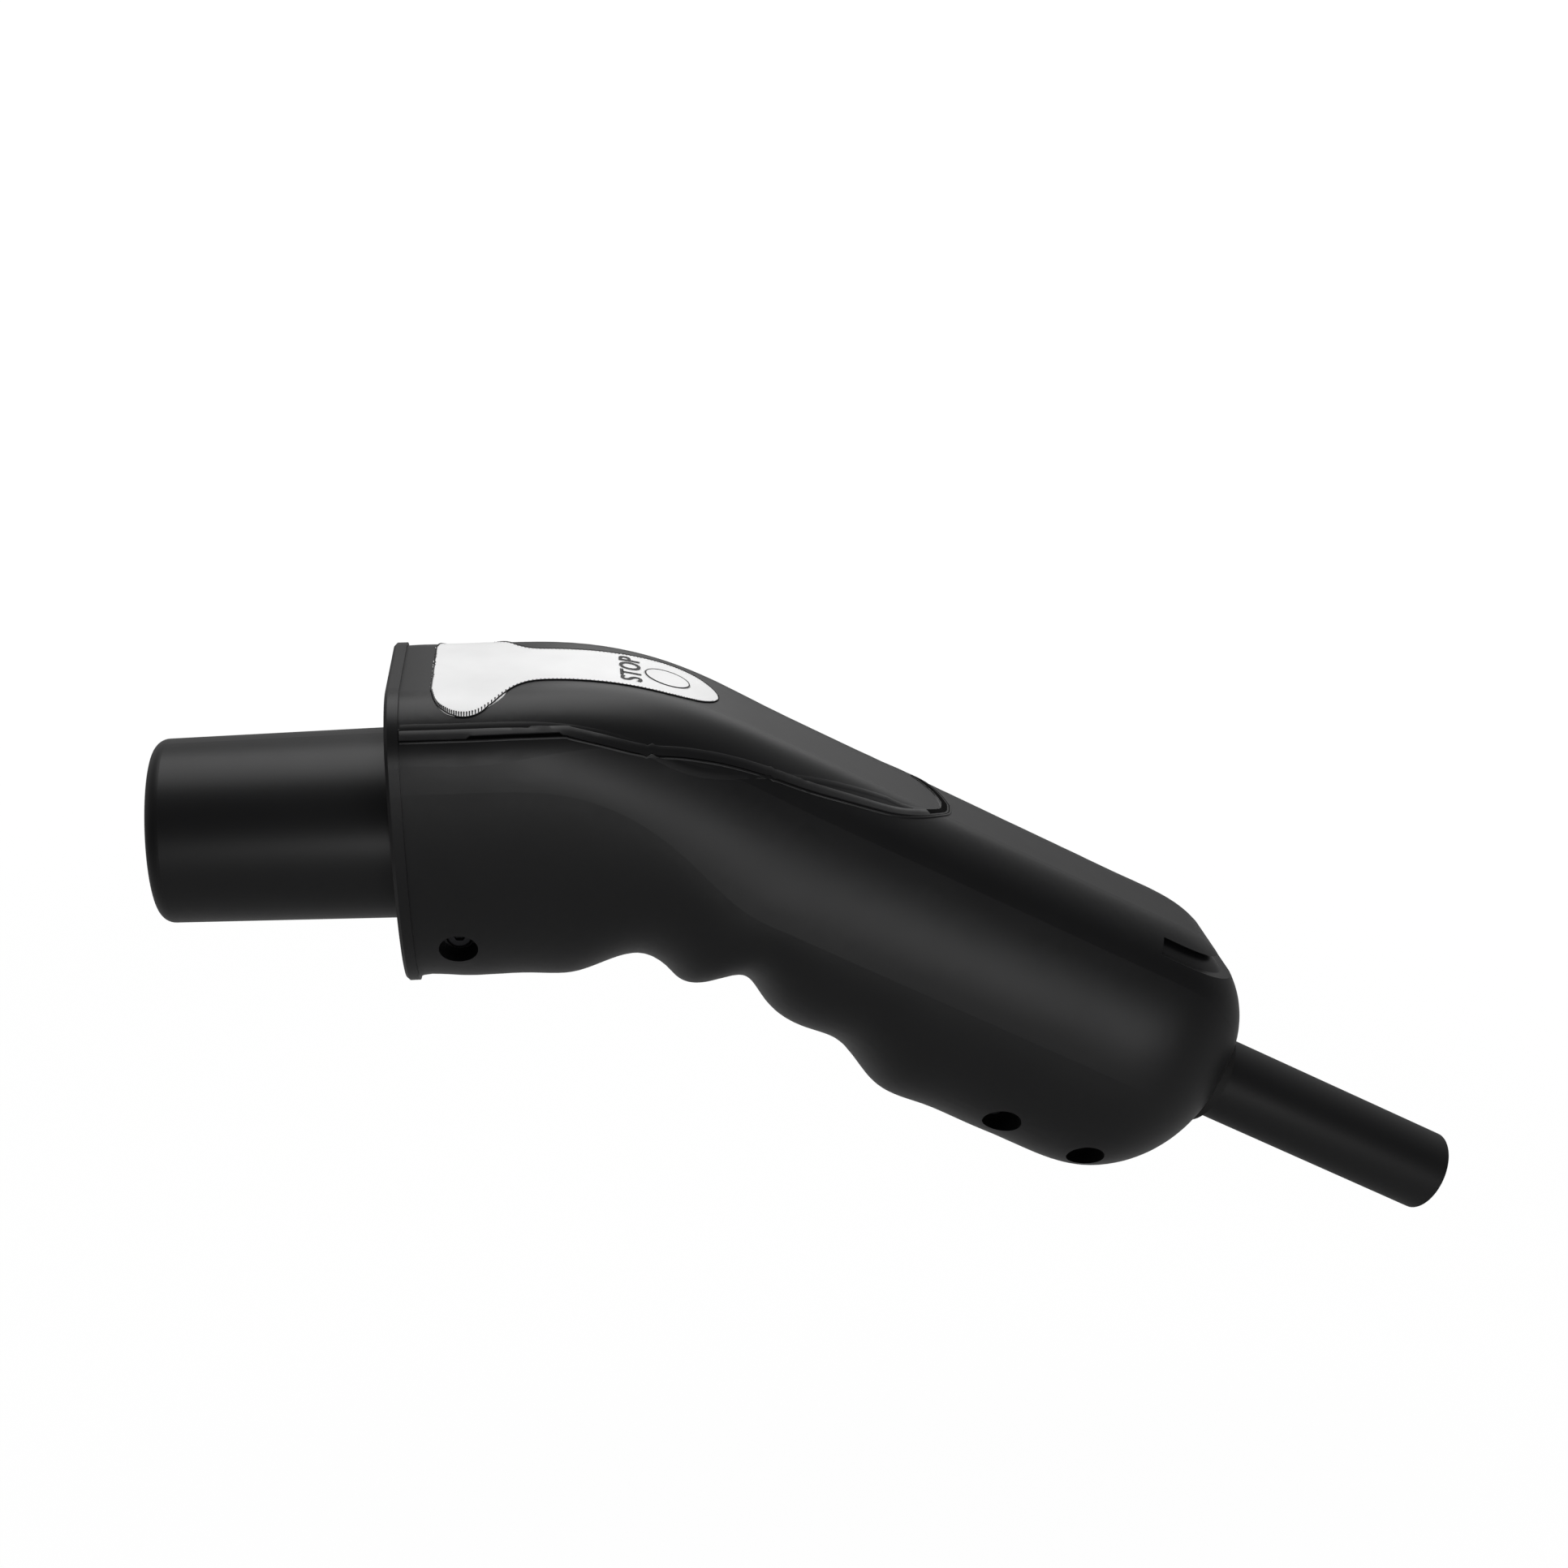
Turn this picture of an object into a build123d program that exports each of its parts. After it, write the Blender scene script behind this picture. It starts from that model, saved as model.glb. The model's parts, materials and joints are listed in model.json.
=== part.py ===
"""EV charging plug: two moulded half shells, a top cover with a stop button, a round
five-contact nose and a short stub of cable.

Frame: the nose axis is the X axis and the nose points to -X.  The origin is the centre of
the front face of the flange.  +Z is up and Y = 0 is the plane where the two shells meet.
"""
import os
from math import atan2, cos, degrees, pi, radians, sin, sqrt

from build123d import *

# ---------------------------------------------------------------- driving dimensions (mm)
# nose
nose_radius = 20.9
nose_tip_radius = 19.9
nose_length = 51.4
nose_wall = 2.4
nose_tip_round = 3.2
nose_collar_radius = 23.6
nose_collar_thickness = 3.0

# flange and the section that it shares with the body
flange_thickness = 2.9
flange_chamfer = 0.7
flange_proud = 0.7
rim_depth = 4.0
rim_wall = 1.6
rim_gap = 0.8
nose_gap = 0.1
bottom_depth = 36.0
half_width = 28.2
top_flat = 14.8
shoulder_radius = 13.2
widest_height = 17.0

# handle
body_wall = 3.0
bend_reach = 33.3
bend_drop = 46.9
fan_reach = 20.0
fan_drop = 121.0
handle_tilt = 28.1
handle_half_thickness = 33.44
handle_half_width = 27.6
handle_flat = 8.5
handle_shoulder = 15.0
handle_axis_height = 48.56
handle_straight_end = 118.0
dome_length = 30.0

# grip slot that wraps round the rear end
slot_start = 111.0
slot_height = 3.0
slot_middle = 78.6
slot_depth = 1.4

# top cover
cover_gap = 0.35
cover_half_width = 25.3
cover_hip_reach = 56.0
cover_waist_width = 20.8
cover_waist_reach = 79.0
cover_tail_width = 13.6
cover_tail_reach = 106.0
cover_end = 119.6

# inlay
inlay_thickness = 0.9
inlay_gap = 0.2
inlay_front = 9.6
inlay_lobe_width = 23.0
inlay_lobe_corner = 6.8
inlay_lobe_reach = 16.4
inlay_waist_width = 16.6
inlay_waist_reach = 25.0
inlay_neck = 33.0
inlay_strip_width = 10.5
inlay_tip_length = 10.8
inlay_end = 69.9

# stop button
button_tilt = 18.4
button_radius = 5.2
button_gap = 0.3
button_proud = 0.2
button_cap = 2.6
button_flange_radius = 6.6
button_flange = 1.2
button_cover = 3.0
button_stem_radius = 2.0
button_travel = 1.3
spring_wire = 0.35
spring_turns = 4.0
board_thickness = 1.6
board_length = 26.0
board_width = 18.0
board_depth = 14.0
switch_size = 6.2
switch_height = 3.4

# contacts
carrier_recess = 2.6
carrier_gap = 0.15
carrier_lip = 2.0
carrier_seat = 4.0
retainer_radius = 16.0
power_pin = 3.6
earth_pin = 2.8
signal_pin = 1.5
pin_clearance = 0.05
contact_wall = 1.3
contact_recess = 1.5
contact_tail = 6.0
power_spread = 7.9
power_height = 6.8
earth_drop = 10.6
signal_spread = 10.6
signal_drop = 5.6
retainer_thickness = 2.5

# cable
cable_radius = 9.77
cable_jacket_wall = 2.2
cable_reach = 212.0
cable_rise = 1.0
cable_inside = 34.0
core_radius = 3.1
core_pitch = 4.05
signal_core_radius = 1.15
signal_core_pitch = 5.85
grommet_wall = 2.4
grommet_length = 9.0
grommet_gap = 0.15
grommet_hole_share = 0.45
clamp_width = 12.0
clamp_wall = 5.0
clamp_gap = 1.2
clamp_ear = 7.0
clamp_screw_spread = 4.0

# shell screws
screw_recess_radius = 4.2
screw_head_radius = 3.2
screw_head_height = 2.4
screw_radius = 1.5
screw_hole_gap = 0.2
boss_radius = 5.2
insert_radius = 2.4
insert_length = 8.0
screw_seat = 9.0
screw_places = [(12.2, -22.6), (132.8, -71.7), (153.0, -82.4)]

# belly: points (x, z) along the underside, from the flange through the three finger grooves
belly_line = [(11.3, -36.0), (20.3, -36.2), (29.3, -36.4), (37.3, -36.1), (43.9, -33.4),
              (50.1, -31.6), (57.3, -35.6), (64.3, -38.6), (71.0, -36.6), (79.4, -44.9),
              (86.9, -51.2), (94.4, -54.6), (99.9, -60.8), (105.2, -68.2)]

# ---------------------------------------------------------------- values that follow
tilt = radians(handle_tilt)
body_front = flange_thickness
handle_bottom = handle_axis_height - handle_half_thickness
handle_top = handle_axis_height + handle_half_thickness
top_height = handle_top - bend_drop
handle_along = Vector(cos(tilt), 0, -sin(tilt))
handle_up = Vector(sin(tilt), 0, cos(tilt))
bend_point = Vector(bend_reach, 0, -bend_drop)
fan_point = Vector(fan_reach, 0, -fan_drop)
cable_start = bend_point + handle_up * (handle_axis_height + cable_rise)
shell_end = handle_straight_end + dome_length
button_up = Vector(sin(radians(button_tilt)), 0, cos(radians(button_tilt)))
button_top = bend_point + button_up * handle_top
flange_drop = button_cover + button_gap


def bend_plane(turn, reach=0.0):
    """Plane across the body, turned about the bend, with its local y pointing up."""
    a = radians(turn)
    along = Vector(cos(a), 0, -sin(a))
    return Plane(origin=bend_point + along * reach, x_dir=Vector(0, 1, 0), z_dir=along)


def cable_plane(reach):
    """Plane across the cable axis, a distance past the bend."""
    return Plane(origin=cable_start + handle_along * reach, x_dir=Vector(0, 1, 0),
                 z_dir=handle_along)


def button_plane(drop):
    """Plane across the button axis, a depth below the top of the button."""
    return Plane(origin=button_top - button_up * drop, x_dir=Vector(0, 1, 0), z_dir=button_up)


def section(plane, top, low, half, flat, shoulder, widest, inset=0.0):
    """Egg-shaped section: flat top, round shoulders, bulged sides and an elliptic belly."""
    top = top - inset
    low = low + inset
    half = half - inset
    shoulder = max(shoulder - inset, 1.0)
    across = half - flat
    rise = top - shoulder - widest
    if across - shoulder < 0.05:
        flat = half - shoulder - 0.05
        across = shoulder + 0.05
    side = (across**2 + rise**2 - shoulder**2) / (2 * (across - shoulder))
    lean = atan2(rise, flat - (half - side))
    join = Vector(half - side + side * cos(lean), widest + side * sin(lean))
    bulge = Vector(half - side + side * cos(lean / 2), widest + side * sin(lean / 2))
    turn = (lean + pi / 2) / 2
    crown = Vector(flat + shoulder * cos(turn), top - shoulder + shoulder * sin(turn))
    with BuildSketch(plane) as sketch:
        with BuildLine():
            Line((-flat, top), (flat, top))
            ThreePointArc((flat, top), (crown.X, crown.Y), (join.X, join.Y))
            ThreePointArc((join.X, join.Y), (bulge.X, bulge.Y), (half, widest))
            EllipticalCenterArc((0, widest), half, widest - low, start_angle=180, arc_size=180)
            ThreePointArc((-half, widest), (-bulge.X, bulge.Y), (-join.X, join.Y))
            ThreePointArc((-join.X, join.Y), (-crown.X, crown.Y), (-flat, top))
        make_face()
    return sketch.sketch


def front_section(inset, x):
    """Section of the straight front part of the body at a distance behind the flange face."""
    plane = bend_plane(0, x - bend_reach)
    return section(plane, bend_drop + top_height, bend_drop - bottom_depth, half_width,
                   top_flat, shoulder_radius, bend_drop + widest_height, inset)


def crown_height(origin, up):
    """Distance from a point along a section's height to the top line of the body."""
    flat = (top_height - origin.Z) / up.Z
    if origin.X + up.X * flat <= bend_reach:
        return flat
    below = origin - bend_point
    slope = (handle_top - below.dot(handle_up)) / up.dot(handle_up)
    if (below + up * slope).dot(handle_along) >= 0:
        return slope
    half = below.dot(up)
    return -half + sqrt(half**2 - below.dot(below) + handle_top**2)


def belly_station(x, z):
    """Section plane and sizes where the underside passes a point of the XZ plane."""
    turn = min(max(degrees(atan2(x - fan_reach, z + fan_drop)), 0.0), handle_tilt)
    a = radians(turn)
    along = Vector(cos(a), 0, -sin(a))
    up = Vector(sin(a), 0, cos(a))
    belly = Vector(x, 0, z) - fan_point
    origin = fan_point + along * belly.dot(along)
    share = turn / handle_tilt
    mix = share * share * (3 - 2 * share)
    front_widest = (widest_height - origin.Z) / up.Z
    rear_widest = ((bend_point - origin).dot(handle_up) + handle_axis_height) / up.dot(handle_up)
    sizes = (crown_height(origin, up), belly.dot(up),
             half_width + (handle_half_width - half_width) * mix,
             top_flat + (handle_flat - top_flat) * mix,
             shoulder_radius + (handle_shoulder - shoulder_radius) * mix,
             front_widest + (rear_widest - front_widest) * mix)
    return Plane(origin=origin, x_dir=Vector(0, 1, 0), z_dir=along), sizes


def body_form(inset=0.0, front=0.0, end=0.0):
    """Loft of the whole body, inset by a wall; front and end move its two ends."""
    stations = [belly_station(body_front + front, -bottom_depth)]
    stations += [belly_station(x, z) for x, z in belly_line]
    grip_end = (Vector(belly_line[-1][0], 0, belly_line[-1][1]) - bend_point).dot(handle_along)
    steps = 4
    for step in range(1, steps + 1):
        reach = grip_end + (handle_straight_end - grip_end) * step / steps
        stations.append((bend_plane(handle_tilt, reach),
                         (handle_top, handle_bottom, handle_half_width, handle_flat,
                          handle_shoulder, handle_axis_height)))
    for angle in (15, 30, 44, 57, 68, 77):
        k = cos(radians(angle))
        reach = handle_straight_end + (dome_length + end) * sin(radians(angle))
        stations.append((bend_plane(handle_tilt, reach),
                         (handle_axis_height + handle_half_thickness * k,
                          handle_axis_height - handle_half_thickness * k,
                          handle_half_width * k, handle_flat * k, handle_shoulder * k,
                          handle_axis_height)))
    with BuildPart() as form:
        for plane, sizes in stations:
            add(section(plane, *sizes, inset))
        loft()
    return form.part


def cover_outline(gap=0.0):
    """Plan of the top cover: a tongue that swells at the bend and narrows to a round end."""
    front = body_front - 5.0
    with BuildSketch(Plane.XY) as sketch:
        with BuildLine():
            Line((front, cover_half_width - gap), (cover_hip_reach, cover_half_width - gap))
            side = Spline((cover_hip_reach, cover_half_width - gap),
                          (cover_waist_reach, cover_waist_width - gap),
                          (cover_tail_reach, cover_tail_width - gap),
                          tangents=((1, 0), (0.98, -0.2)))
            tail = cover_end - cover_tail_reach
            ThreePointArc(side @ 1, (cover_tail_reach + 0.8 * tail - gap, 0.68 * cover_tail_width),
                          (cover_end - gap, 0))
            Line((cover_end - gap, 0), (front, 0))
            Line((front, 0), (front, cover_half_width - gap))
        make_face()
        mirror(about=Plane.XZ)
    return sketch.sketch


def inlay_outline(gap=0.0):
    """Plan of the inlay: wide rounded lobes in front and a narrow strip with a round tip."""
    front = inlay_front - gap
    wide = inlay_lobe_width + gap
    strip = inlay_strip_width + gap
    tip = inlay_end - inlay_tip_length
    with BuildSketch(Plane.XY) as sketch:
        with BuildLine():
            Line((front, 0), (front, wide - inlay_lobe_corner - 1.5))
            Spline((front, wide - inlay_lobe_corner - 1.5), (inlay_lobe_reach, wide),
                   (inlay_waist_reach + gap, inlay_waist_width + gap), (inlay_neck, strip),
                   tangents=((0.02, 1), (1, 0)))
            Line((inlay_neck, strip), (tip, strip))
            EllipticalCenterArc((tip, 0), inlay_tip_length + gap, strip, start_angle=0,
                                arc_size=90)
            Line((inlay_end + gap, 0), (front, 0))
        make_face()
        mirror(about=Plane.XZ)
    return sketch.sketch


def tower(sketch, height=60.0):
    """Prism that stands on a plan outline and reaches over the body."""
    with BuildPart() as prism:
        add(sketch)
        extrude(amount=height)
    return prism.part


def block(plane, radius, length):
    """Plain round bar from a plane, along its normal."""
    with BuildPart() as bar:
        with BuildSketch(plane):
            Circle(radius)
        extrude(amount=length)
    return bar.part


def save(part, name):
    part.label = name
    export_step(part, f"parts/{name}.step")


os.makedirs("parts", exist_ok=True)

# ---------------------------------------------------------------- body forms
outer_form = body_form()
skin_form = body_form(inset=inlay_thickness, front=-1.0)
inner_form = body_form(inset=body_wall, front=-1.0, end=-body_wall)
with BuildPart() as slot_ring:
    with BuildSketch(bend_plane(handle_tilt, slot_start)):
        with Locations((0, slot_middle)):
            Rectangle(2 * half_width, slot_height)
    extrude(amount=dome_length)
    add(body_form(inset=slot_depth, end=-slot_depth), mode=Mode.SUBTRACT)

# ---------------------------------------------------------------- screws and bosses


def screw_boss(x, z, left):
    """Boss on one shell, from beyond the wall to the parting plane, before it is trimmed."""
    plane = Plane(origin=(x, 0, z), x_dir=(1, 0, 0), z_dir=(0, -1 if left else 1, 0))
    return block(plane, boss_radius, half_width)


def half_shell(left):
    """One moulded half of the housing, open under the top cover."""
    side = -1 if left else 1
    with BuildPart() as shell:
        add(outer_form)
        add(inner_form, mode=Mode.SUBTRACT)
        add(tower(cover_outline()), mode=Mode.SUBTRACT)
        add(slot_ring.part, mode=Mode.SUBTRACT)
        for x, z in screw_places:
            boss = screw_boss(x, z, left) & outer_form
            add(boss)
        with BuildSketch(cable_plane(shell_end - dome_length * grommet_hole_share)):
            Circle(cable_radius + grommet_wall + grommet_gap)
        extrude(amount=dome_length, mode=Mode.SUBTRACT)
        for x, z in screw_places:
            if left:
                bottom = Plane(origin=(x, -screw_seat, z), x_dir=(1, 0, 0), z_dir=(0, -1, 0))
                with BuildSketch(bottom):
                    Circle(screw_recess_radius)
                extrude(amount=half_width, mode=Mode.SUBTRACT)
                with BuildSketch(Plane(origin=(x, 0, z), x_dir=(1, 0, 0), z_dir=(0, -1, 0))):
                    Circle(screw_radius + screw_hole_gap)
                extrude(amount=screw_seat, mode=Mode.SUBTRACT)
            else:
                with BuildSketch(Plane(origin=(x, 0, z), x_dir=(1, 0, 0), z_dir=(0, 1, 0))):
                    Circle(insert_radius)
                extrude(amount=insert_length, mode=Mode.SUBTRACT)
        keep = Keep.BOTTOM if left else Keep.TOP
        split(bisect_by=Plane(origin=(0, 0, 0), x_dir=(1, 0, 0), z_dir=(0, 1, 0)), keep=keep)
    return shell.part


save(half_shell(True), "left_shell")
save(half_shell(False), "right_shell")

with BuildPart() as screw:
    with BuildSketch(Plane.XY):
        Circle(screw_head_radius)
    extrude(amount=screw_head_height)
    fillet(screw.faces().sort_by(Axis.Z)[-1].edges(), 0.7)
    with BuildSketch(Plane.XY.offset(screw_head_height)):
        RegularPolygon(1.5, 6)
    extrude(amount=-1.3, mode=Mode.SUBTRACT)
    with BuildSketch(Plane.XY):
        Circle(screw_radius)
    extrude(amount=-screw_seat - insert_length + 1.0)

with BuildPart() as insert:
    with BuildSketch(Plane.XY):
        Circle(insert_radius)
        Circle(screw_radius + 0.05, mode=Mode.SUBTRACT)
    extrude(amount=insert_length)

for number, (x, z) in enumerate(screw_places, 1):
    seat = Plane(origin=(x, -screw_seat, z), x_dir=(1, 0, 0), z_dir=(0, -1, 0))
    save(seat * screw.part, f"shell_screw_{number}")
    foot = Plane(origin=(x, 0, z), x_dir=(1, 0, 0), z_dir=(0, 1, 0))
    save(foot * insert.part, f"threaded_insert_{number}")

# ---------------------------------------------------------------- top cover and inlay
with BuildPart() as top_cover:
    add(outer_form & tower(cover_outline(cover_gap)))
    add(inner_form, mode=Mode.SUBTRACT)
    add(tower(inlay_outline(inlay_gap)) - skin_form, mode=Mode.SUBTRACT)
    with BuildSketch(button_plane(20)):
        Circle(button_radius + button_gap)
    extrude(amount=30, mode=Mode.SUBTRACT)
    with BuildSketch(button_plane(flange_drop - button_gap)):
        Circle(button_flange_radius + button_gap)
    extrude(amount=-20, mode=Mode.SUBTRACT)
save(top_cover.part, "top_cover")

with BuildPart() as inlay:
    add(outer_form & tower(inlay_outline()))
    add(skin_form, mode=Mode.SUBTRACT)
    with BuildSketch(button_plane(20)):
        Circle(button_radius + button_gap)
    extrude(amount=30, mode=Mode.SUBTRACT)
save(inlay.part, "inlay_plate")

# ---------------------------------------------------------------- flange and nose
with BuildPart() as rim:
    add(front_section(body_wall + rim_gap, flange_thickness))
    extrude(amount=rim_depth, dir=(1, 0, 0))
with BuildPart() as rim_core:
    add(front_section(body_wall + rim_gap + rim_wall, flange_thickness))
    extrude(amount=rim_depth, dir=(1, 0, 0))
with BuildPart() as chamfered_face:
    add(front_section(flange_chamfer - flange_proud, 0.0))
    add(front_section(-flange_proud, flange_chamfer))
    loft()
with BuildPart() as front_flange:
    add(front_section(-flange_proud, flange_chamfer))
    extrude(amount=flange_thickness - flange_chamfer, dir=(1, 0, 0))
    add(chamfered_face.part)
    add(rim.part - rim_core.part)
    with BuildSketch(Plane.YZ.offset(flange_thickness)):
        Circle(nose_collar_radius + rim_gap)
    extrude(amount=rim_depth + 1, mode=Mode.SUBTRACT)
    with BuildSketch(Plane.YZ.offset(-1.0)):
        Circle(nose_radius + nose_gap)
    extrude(amount=flange_thickness + 2.0, mode=Mode.SUBTRACT)
save(front_flange.part, "front_flange")

collar_front = flange_thickness
collar_back = collar_front + nose_collar_thickness
bore_radius = nose_tip_radius - nose_wall
with BuildPart() as collar:
    add(front_section(body_wall + rim_gap, collar_front))
    extrude(amount=nose_collar_thickness, dir=(1, 0, 0))
    with BuildSketch(Plane.YZ.offset(collar_front)):
        Circle(nose_collar_radius)
    extrude(amount=nose_collar_thickness, mode=Mode.INTERSECT)
with BuildPart() as nose_barrel:
    with BuildSketch(Plane.XZ):
        with BuildLine():
            Polyline((-nose_length, 0), (-nose_length, nose_tip_radius), (0, nose_radius),
                     (collar_front, nose_radius), (collar_front, 0), (-nose_length, 0))
        make_face()
    revolve(axis=Axis.X)
    tip_edge = nose_barrel.edges().filter_by(GeomType.CIRCLE).sort_by(Axis.X)[0]
    fillet(tip_edge, nose_tip_round)
    add(collar.part)
    with BuildSketch(Plane.YZ.offset(-nose_length - 1)):
        Circle(bore_radius)
    extrude(amount=nose_length + collar_back + 2, mode=Mode.SUBTRACT)
    with BuildSketch(Plane.YZ.offset(collar_back)):
        Circle(bore_radius + carrier_lip + carrier_gap)
    extrude(amount=-carrier_seat, mode=Mode.SUBTRACT)
save(nose_barrel.part, "nose_barrel")

# ---------------------------------------------------------------- contacts and carrier
contacts = [("power_contact_left", -power_spread, power_height, power_pin),
            ("power_contact_right", power_spread, power_height, power_pin),
            ("earth_contact", 0.0, -earth_drop, earth_pin),
            ("pilot_contact", -signal_spread, -signal_drop, signal_pin),
            ("proximity_contact", signal_spread, -signal_drop, signal_pin)]
carrier_front = -nose_length + carrier_recess
carrier_back = collar_back


def contact_radius(pin):
    """Outer radius of the sleeve that grips a pin."""
    return pin / 2 + pin_clearance + contact_wall


with BuildPart() as contact_carrier:
    with BuildSketch(Plane.YZ.offset(carrier_front)):
        Circle(bore_radius - carrier_gap)
    extrude(amount=carrier_back - carrier_front)
    with BuildSketch(Plane.YZ.offset(carrier_back)):
        Circle(bore_radius + carrier_lip)
    extrude(amount=-carrier_seat)
    chamfer(contact_carrier.edges().filter_by(GeomType.CIRCLE).sort_by(Axis.X)[0], 0.8)
    for name, y, z, pin in contacts:
        with BuildSketch(Plane.YZ.offset(carrier_front - 1)):
            with Locations((y, z)):
                Circle(contact_radius(pin) + 0.05)
        extrude(amount=carrier_back - carrier_front + 2, mode=Mode.SUBTRACT)
save(contact_carrier.part, "contact_carrier")

with BuildPart() as contact_retainer:
    with BuildSketch(Plane.YZ.offset(carrier_back)):
        Circle(retainer_radius)
        for name, y, z, pin in contacts:
            with Locations((y, z)):
                Circle(contact_radius(pin) + 0.05, mode=Mode.SUBTRACT)
    extrude(amount=retainer_thickness)
save(contact_retainer.part, "contact_retainer")

for name, y, z, pin in contacts:
    with BuildPart() as contact:
        with BuildSketch(Plane.YZ.offset(carrier_front + contact_recess)):
            with Locations((y, z)):
                Circle(contact_radius(pin))
        extrude(amount=carrier_back + retainer_thickness + contact_tail
                - carrier_front - contact_recess)
        with BuildSketch(Plane.YZ.offset(carrier_front)):
            with Locations((y, z)):
                Circle(pin / 2 + pin_clearance)
        extrude(amount=contact_recess + 24.0, mode=Mode.SUBTRACT)
        with BuildSketch(Plane.YZ.offset(carrier_back + retainer_thickness)):
            with Locations((y, z)):
                Circle(pin / 2 + pin_clearance)
        extrude(amount=contact_tail + 1, mode=Mode.SUBTRACT)
    save(contact.part, name)

# ---------------------------------------------------------------- stop button
board_top = board_depth
stem_end = board_top - switch_height - button_travel - 0.3

with BuildPart() as stop_button:
    with BuildSketch(button_plane(-button_proud)):
        Circle(button_radius)
    extrude(amount=-(flange_drop + button_proud))
    fillet(stop_button.faces().sort_by(Axis.Z)[-1].edges(), 0.4)
    with BuildSketch(button_plane(flange_drop)):
        Circle(button_flange_radius)
    extrude(amount=-button_flange)
    with BuildSketch(button_plane(flange_drop + button_flange)):
        Circle(button_stem_radius)
    extrude(amount=-(stem_end - flange_drop - button_flange))
save(stop_button.part, "stop_button")

with BuildPart() as control_board:
    with BuildSketch(button_plane(board_top)):
        Rectangle(board_width, board_length)
    extrude(amount=-board_thickness)
save(control_board.part, "control_board")

with BuildPart() as stop_switch:
    with BuildSketch(button_plane(board_top)):
        Rectangle(switch_size, switch_size)
    extrude(amount=switch_height)
save(stop_switch.part, "stop_switch")

spring_bottom = board_top - switch_height
spring_top = flange_drop + button_flange
spring_radius = button_stem_radius + spring_wire + 0.15
with BuildPart() as button_spring:
    with BuildLine():
        coil = Helix(pitch=(spring_bottom - spring_top - 2 * spring_wire) / spring_turns,
                     height=spring_bottom - spring_top - 2 * spring_wire, radius=spring_radius)
    with BuildSketch(Plane(origin=coil @ 0, z_dir=coil % 0)):
        Circle(spring_wire)
    sweep(is_frenet=True)
save(button_plane(spring_bottom - spring_wire) * button_spring.part, "button_spring")

# ---------------------------------------------------------------- cable
jacket_start = shell_end - cable_inside
with BuildPart() as cable_jacket:
    with BuildSketch(cable_plane(jacket_start)):
        Circle(cable_radius)
        Circle(cable_radius - cable_jacket_wall, mode=Mode.SUBTRACT)
    extrude(amount=cable_reach - jacket_start)
save(cable_jacket.part, "cable_jacket")

cores = [("line_core", core_radius, core_pitch, 90), ("neutral_core", core_radius, core_pitch, 210),
         ("earth_core", core_radius, core_pitch, 330),
         ("pilot_core", signal_core_radius, signal_core_pitch, 30),
         ("proximity_core", signal_core_radius, signal_core_pitch, 150)]
for name, radius, pitch, angle in cores:
    with BuildPart() as core:
        with BuildSketch(cable_plane(jacket_start - 12.0)):
            with Locations((pitch * cos(radians(angle)), pitch * sin(radians(angle)))):
                Circle(radius)
        extrude(amount=cable_reach - jacket_start + 12.0)
    save(core.part, name)

with BuildPart() as cable_grommet:
    with BuildSketch(cable_plane(shell_end - grommet_length - 1.0)):
        Circle(cable_radius + grommet_wall)
        Circle(cable_radius + 0.05, mode=Mode.SUBTRACT)
    extrude(amount=grommet_length)
save(cable_grommet.part, "cable_grommet")

clamp_place = jacket_start + 1.0
for name, side in (("cable_clamp_left", 1), ("cable_clamp_right", -1)):
    with BuildPart() as clamp:
        with BuildSketch(cable_plane(clamp_place)):
            Rectangle(2 * (cable_radius + clamp_wall), 2 * (cable_radius + clamp_ear))
            Circle(cable_radius + 0.05, mode=Mode.SUBTRACT)
            with Locations((-side * (cable_radius + clamp_wall), 0)):
                Rectangle(2 * (cable_radius + clamp_wall) + clamp_gap, 60, mode=Mode.SUBTRACT)
        extrude(amount=clamp_width)
        for height in (-cable_radius - clamp_screw_spread, cable_radius + clamp_screw_spread):
            hole = cable_start + handle_along * (clamp_place + clamp_width / 2)
            hole = hole + handle_up * height
            with BuildSketch(Plane(origin=(hole.X, -40, hole.Z), x_dir=(1, 0, 0), z_dir=(0, 1, 0))):
                Circle(1.6)
            extrude(amount=80, mode=Mode.SUBTRACT)
    save(clamp.part, name)

for number, height in enumerate((-cable_radius - clamp_screw_spread,
                                 cable_radius + clamp_screw_spread), 1):
    place = cable_start + handle_along * (clamp_place + clamp_width / 2) + handle_up * height
    with BuildPart() as clamp_screw:
        head = Plane(origin=(place.X, -cable_radius - clamp_wall, place.Z), x_dir=(1, 0, 0),
                     z_dir=(0, -1, 0))
        with BuildSketch(head):
            Circle(2.8)
        extrude(amount=2.0)
        with BuildSketch(head):
            Circle(1.5)
        extrude(amount=-2 * (cable_radius + clamp_wall) - 1)
    save(clamp_screw.part, f"clamp_screw_{number}")
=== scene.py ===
# %% [markdown]
# # An EV charging plug in black moulded plastic
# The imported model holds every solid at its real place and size. This notebook gives
# each one its finish, adds the printed word on the stop button's plate and lights the
# whole. The frame is loaded first, and the box of the solids is kept for the end.

import json
import math

import bmesh
import bpy
from mathutils import Matrix, Vector
from mathutils.bvhtree import BVHTree

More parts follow.
